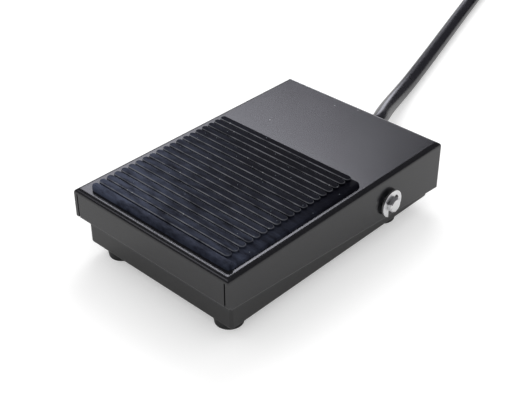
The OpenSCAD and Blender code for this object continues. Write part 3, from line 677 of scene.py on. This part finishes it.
cord = {
    "diameter": 6.0,
    "exit": (-4, 47.4, 10.7),
    "straight": [  # from the clamped end inside the tray
        (-4, 33.4, 10.7), (-4, 40, 10.7), (-4, 47.4, 10.7), (-4, 54, 10.7),
    ],
    "lay": [
        (-4, 60, 10.7), (-4, 62, 10.7), (-4.6, 65, 10.6), (-6.5, 70, 9.8), (-9, 75, 8.6), (-11.4, 80, 7.4),
        (-13.6, 85, 6.3), (-16.4, 92, 5), (-19.3, 100, 3.9), (-22.6, 110, 3.2), (-27.4, 125, 3.01),
        (-32.2, 140, 3.01), (-38.7, 160, 3.01), (-45.2, 180, 3.01), (-51.6, 200, 3.01), (-58.1, 220, 3.03),
        (-64.7, 240, 3.4), (-69.5, 255, 3.8),
    ],
    "coilAt": (-27.7, 268.7),
    "coilTurn": 44.0,  # radius of the outermost turn
    "lowLayer": 3.8,
    "highLayer": 9.8,
    "arrive": 198.0,  # angle at which the cord joins the coil
    "coilAngle": 1928.0,  # how far it winds, clockwise
    "coilPoints": 216,
    "inFrom": 300.0,  # angle wound at which the low layer goes from its outer ring to its inner one
    "upFrom": 965.0,
    "outFrom": 1320.0,
    "shift": 60.0,  # angle that each of these takes
    "ringsApart": 2,  # in diameters
    "tail": [  # distance from the coil's middle, angle, height
        (44, 70, 9.8), (45.2, 60, 9.4), (46.8, 50, 8.4), (48.4, 40, 6.8), (49.8, 30, 5),
        (50.4, 20, 3.6), (50.4, 10, 3), (50.4, 0, 3), (50.4, -10, 3),
    ],
    "step": 2.2,
    "sides": 18,
    "clear": 0.005,  # least height of its underside
}


def around(distance, angle, height):
    a = math.radians(angle)
    x, y = cord["coilAt"]
    return place(x + distance * math.cos(a), y + distance * math.sin(a), height)


def eased(t):
    t = min(1.0, max(0.0, t))
    return t * t * (3 - 2 * t)


def coilPlace(wound):
    # each layer has an outer and an inner ring, and the turns of one ring run in the same place
    def crossed(start):
        return 1 + eased((wound - start) / cord["shift"]) if wound >= start else 0

    if wound < cord["upFrom"]:
        return cord["coilTurn"] - crossed(cord["inFrom"]) * cord["diameter"], cord["lowLayer"]
    risen = eased((wound - cord["upFrom"]) / cord["shift"])
    height = cord["lowLayer"] + (cord["highLayer"] - cord["lowLayer"]) * risen
    return cord["coilTurn"] - (cord["ringsApart"] - crossed(cord["outFrom"])) * cord["diameter"], height


def cordLine():
    run = smoothLine([place(*p) for p in cord["straight"] + cord["lay"]], cord["step"] * mm)
    coil = []
    for k in range(1, cord["coilPoints"] + 1):
        wound = cord["coilAngle"] * k / cord["coilPoints"]
        distance, height = coilPlace(wound)
        coil.append(around(distance, cord["arrive"] - wound, height))
    tail = smoothLine([around(*p) for p in cord["tail"]], cord["step"] * mm)
    line = run + coil + tail[1:]
    for p in line:
        p.z = max(p.z, (cord["diameter"] / 2 + cord["clear"]) * mm)
    return line


def lengthOf(line):
    return sum((b - a).length for a, b in zip(line, line[1:]))


cores = {
    "diameter": 1.8,
    "apart": 1.9,
    "spread": 6,  # angle between neighbours
    "start": -2,  # where they begin inside the jacket's end
    "insulated": 20.0,
    "bare": 7.0,
    "pieces": 12,
    "sides": 14,
    "slots": {"blackLead": "lead_black", "redLead": "lead_red", "whiteLead": "lead_white"},
}
strand = {
    "diameter": 0.34,
    "start": -1,  # where it begins inside the insulation's end
    "twist": 14,  # angle from one point to the next
    "around": 6,
    "sides": 8,
}


def coreRoute(k, start, end):
    distance, angle, _ = cord["tail"][-1]
    lift = cores["apart"] if k == 0 else 0
    base = around(distance + cores["apart"] * k, angle, cores["diameter"] / 2 + lift)
    a = math.radians(angle + cores["spread"] * k)
    out = Vector((math.sin(a), -math.cos(a), 0))
    line = []
    for i in range(cores["pieces"] + 1):
        along = start + (end - start) * i / cores["pieces"]
        fall = lift * min(1.0, max(0.0, along / cores["insulated"])) ** 2
        line.append(base + out * along * mm - Vector((0, 0, fall * mm)))
    return line


def strandRoutes(k):
    # one copper strand in the middle and the others round it, laid in a slow twist
    axis = coreRoute(k, cores["insulated"] + strand["start"], cores["insulated"] + cores["bare"])
    along = (axis[-1] - axis[0]).normalized()
    side = along.cross(Vector((0, 0, 1))).normalized()
    up = side.cross(along)
    routes = [axis]
    for number in range(strand["around"]):
        route = []
        for i, p in enumerate(axis):
            a = math.radians(360 / strand["around"] * number + strand["twist"] * i)
            route.append(p + (side * math.cos(a) + up * math.sin(a)) * strand["diameter"] * mm)
        routes.append(route)
    return routes


def addCord():
    line = cordLine()
    mesh = grow("cord", chainMesh("cordRoute", [line]), roundWire, {
        "Radius": cord["diameter"] / 2 * mm, "Sides": cord["sides"], "Finish": materials["cordJacket"],
    })
    outward(mesh)
    lead = addPiece("cord", mesh, "base",
                    ["cord_inlet", "cord_tube", "cord_coil", "cord_tail"])
    for k, (finish, slot) in zip((-1, 0, 1), cores["slots"].items()):
        route = coreRoute(k, cores["start"], cores["insulated"])
        addWire("core_" + finish, [route], cores["diameter"] / 2, cores["sides"],
                            finish, "base")
    strands = addWire("core_strands", [r for k in (-1, 0, 1) for r in strandRoutes(k)],
                      strand["diameter"] / 2, strand["sides"], "copperStrand", "base",
                      ["cord_ends"])
    print("cord", round(lengthOf(line), 3), "m")


tread = {
    "pitch": 2.93,
    "gap": 0.45,  # between ribs
    "web": 1.0,  # thickness of the sheet under the ribs
    "ribHeight": 1.0,
    "fillet": 0.42,  # rounds the ribs' upper edges
    "lipFillet": 0.6,
    "crown": -0.05,  # the ribs' crowns against the pad's full height
    "behindLip": -44.2,  # y where the ribs behind the lip start
    "ribsEnd": 27.5,  # x of their right ends
    "rim": 3.5,  # border left bare at the right ends of the ribs
    "lipShort": 0.1,  # how far the lip ends before the pad's right edge
    "corner": 2.0,
    "cornerPoints": 8,
    "borderRings": [  # inset, depth below the web's top
        (0.0, 1.0), (0.12, 0.5), (0.25, 0.15), (0.6, 0.0),
    ],
    "lengthPoints": 36,
    "endPoints": 8,
    "filletPoints": 7,
    "dome": 0.02,  # rise of a crown's middle over its edges
    "wander": 0.14,
    "seed": 7.0,
    "sharp": 45,  # angle between faces above which an edge isn't smoothed
}


def loft(name, rings):
    count = len(rings[0])
    faces = []
    for level in range(len(rings) - 1):
        for k in range(count):
            a, b = level * count + k, level * count + (k + 1) % count
            faces.append((a, b, b + count, a + count))
    faces.append(tuple(range(count - 1, -1, -1)))
    faces.append(tuple((len(rings) - 1) * count + k for k in range(count)))
    mesh = bpy.data.meshes.new(name)
    mesh.from_pydata([tuple(p) for ring in rings for p in ring], [], faces)
    outward(mesh)
    return mesh


def ribRing(start, end, halfWidth, radius, height):
    # outline with two round ends, its long sides divided so that they can wander
    points, steps, turns = [], tread["lengthPoints"], tread["endPoints"]
    for side in (1, -1):
        a, b = (end - halfWidth, start + halfWidth) if side > 0 else (start + halfWidth, end - halfWidth)
        points += [place(a + (b - a) * k / steps, side * radius, height) for k in range(steps)]
        points += [place(b - side * radius * math.sin(math.pi * k / turns),
                         side * radius * math.cos(math.pi * k / turns), height) for k in range(turns)]
    return points


def ribMesh(name, start, end, width, fillet):
    # walls down to the cover, then a fillet and a nearly flat crown
    half, top, dome = width / 2, tread["ribHeight"] + tread["crown"], tread["dome"]
    levels = [(half, -tread["web"]), (half, top - fillet)]
    for k in range(1, tread["filletPoints"] + 1):
        a = math.radians(90 * k / tread["filletPoints"])
        across, drop = fillet * (1 - math.cos(a)), (fillet - dome) * (1 - math.sin(a))
        levels.append((half - across, top - dome - drop))
    levels.append((0.5 * (half - fillet), top))
    return loft(name, [ribRing(start, end, half, radius, height) for radius, height in levels])


def makeRibRow():
    # copies of one rib at even pitch, each a little out of true
    group, given, result = newGeometryGroup("ribRow", {
        "Count": ("Int", 19), "Pitch": ("Float", 0.00293), "Wander": ("Float", 0.0001),
        "Seed": ("Float", 7.0), "Finish": ("Material", None),
    })
    offset = addNode(group, "ShaderNodeCombineXYZ")
    line = addNode(group, "GeometryNodeMeshLine")
    copies = addNode(group, "GeometryNodeInstanceOnPoints")
    real = addNode(group, "GeometryNodeRealizeInstances")
    position = addNode(group, "GeometryNodeInputPosition")
    noise = addNode(group, "ShaderNodeTexNoise", {"Scale": 110.0, "Detail": 2.0}, noise_dimensions="4D")
    centred = addNode(group, "ShaderNodeVectorMath", operation="SUBTRACT")
    centred.inputs[1].default_value = (0.5, 0.5, 0.5)
    lean = addNode(group, "ShaderNodeVectorMath", operation="MULTIPLY")
    lean.inputs[1].default_value = (1.0, 1.0, 0.5)
    scaled = addNode(group, "ShaderNodeVectorMath", operation="SCALE")
    move = addNode(group, "GeometryNodeSetPosition")
    smooth = addNode(group, "GeometryNodeSetShadeSmooth")
    finish = addNode(group, "GeometryNodeSetMaterial")
    wire(group, [
        (given.outputs["Pitch"], offset.inputs["Y"]),
        (given.outputs["Count"], line.inputs["Count"]),
        (offset.outputs[0], line.inputs["Offset"]),
        (line.outputs["Mesh"], copies.inputs["Points"]),
        (given.outputs["Geometry"], copies.inputs["Instance"]),
        (copies.outputs["Instances"], real.inputs["Geometry"]),
        (position.outputs[0], noise.inputs["Vector"]),
        (given.outputs["Seed"], noise.inputs["W"]),
        (noise.outputs["Color"], centred.inputs[0]),
        (centred.outputs[0], lean.inputs[0]),
        (lean.outputs[0], scaled.inputs[0]),
        (given.outputs["Wander"], scaled.inputs["Scale"]),
        (real.outputs["Geometry"], move.inputs["Geometry"]),
        (scaled.outputs[0], move.inputs["Offset"]),
        (move.outputs["Geometry"], smooth.inputs["Geometry"]),
        (smooth.outputs["Geometry"], finish.inputs["Geometry"]),
        (given.outputs["Finish"], finish.inputs["Material"]),
        (finish.outputs["Geometry"], result.inputs["Geometry"]),
    ])
    return group


def borderRing(left, right, back, inset, height):
    # the web's outline from the toe end: square at the left, round at the right
    corner, turns = tread["corner"], tread["cornerPoints"]
    radius = corner - inset
    points = [place(left, back - inset, height), place(left, inset, height)]
    for y, start in ((corner, 270), (back - corner, 0)):
        for k in range(turns + 1):
            a = math.radians(start + 90 * k / turns)
            points.append(place(right - corner + radius * math.cos(a), y + radius * math.sin(a), height))
    return points


def addTread():
    low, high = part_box("tread_pad")
    left, right, back = low.x / mm, high.x / mm, (high.y - low.y) / mm
    pitch, web = tread["pitch"], tread["web"]
    width = pitch - tread["gap"]
    count = math.floor((back + tread["gap"]) / pitch)
    ribs = grow("ribs", ribMesh("rib", left, right - tread["rim"], width, tread["fillet"]), makeRibRow(), {
        "Count": count - 1, "Pitch": pitch * mm, "Wander": tread["wander"] * mm,
        "Seed": tread["seed"], "Finish": materials["treadRubber"],
    })
    ribs.transform(Matrix.Translation(place(0, 1.5 * pitch - tread["gap"] / 2, web)))
    lip = ribMesh("lip", left, right - tread["lipShort"], width, tread["lipFillet"])
    lip.transform(Matrix.Translation(place(0, width / 2, web)))
    sheet = loft("web", [
        borderRing(left + width / 2, right, back, inset, web - depth)
        for inset, depth in tread["borderRings"]
    ])
    whole = bmesh.new()
    for part in (sheet, lip, ribs):
        whole.from_mesh(part)
    pad = bpy.data.meshes.new("tread")
    whole.to_mesh(pad)
    whole.free()
    pad.transform(Matrix.Translation(Vector((0, low.y, low.z))))
    pad.materials.append(materials["treadRubber"])
    pad.polygons.foreach_set("use_smooth", [True] * len(pad.polygons))
    pad.set_sharp_from_angle(angle=math.radians(tread["sharp"]))
    addPiece("tread", pad, "pedal", ["tread_pad"])
    print("tread", count, "ribs")


spring = {
    "wire": 1.0,
    "outside": 9.0,
    "turns": 7,
    "perTurn": 28,
    "sides": 12,
    "flatRise": 0.15,  # rise of each closed end turn, in wire diameters
    "pressed": 0.75,  # share of its height left when the pedal is down
}


def addSpring():
    low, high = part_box("return_spring")
    middle = (low + high) / 2
    mean = (spring["outside"] - spring["wire"]) / 2
    bottom = low.z / mm + spring["wire"] / 2
    span = (high.z - low.z) / mm - spring["wire"]
    flat = spring["flatRise"] * spring["wire"]
    route = []
    for k in range(spring["turns"] * spring["perTurn"] + 1):
        t = k / spring["perTurn"]
        if t < 1:
            rise = flat * t
        elif t > spring["turns"] - 1:
            rise = span - flat * (spring["turns"] - t)
        else:
            rise = flat + (t - 1) / (spring["turns"] - 2) * (span - 2 * flat)
        a = 2 * math.pi * t
        route.append(place(mean * math.cos(a), middle.y / mm + mean * math.sin(a), bottom + rise))
    coil = addWire("spring", [route], spring["wire"] / 2, spring["sides"], "springWire", "base",
                   ["return_spring"])
    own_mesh(coil)
    print("spring")


addCamera()
addWorld()
addFloor()
addLights()
print("studio")
materials = makeMaterials()
print("materials", len(materials))
roundWire = makeRoundWire()
dressNodes()
addCord()
addTread()
addSpring()

scene.view_settings.view_transform = "Standard"
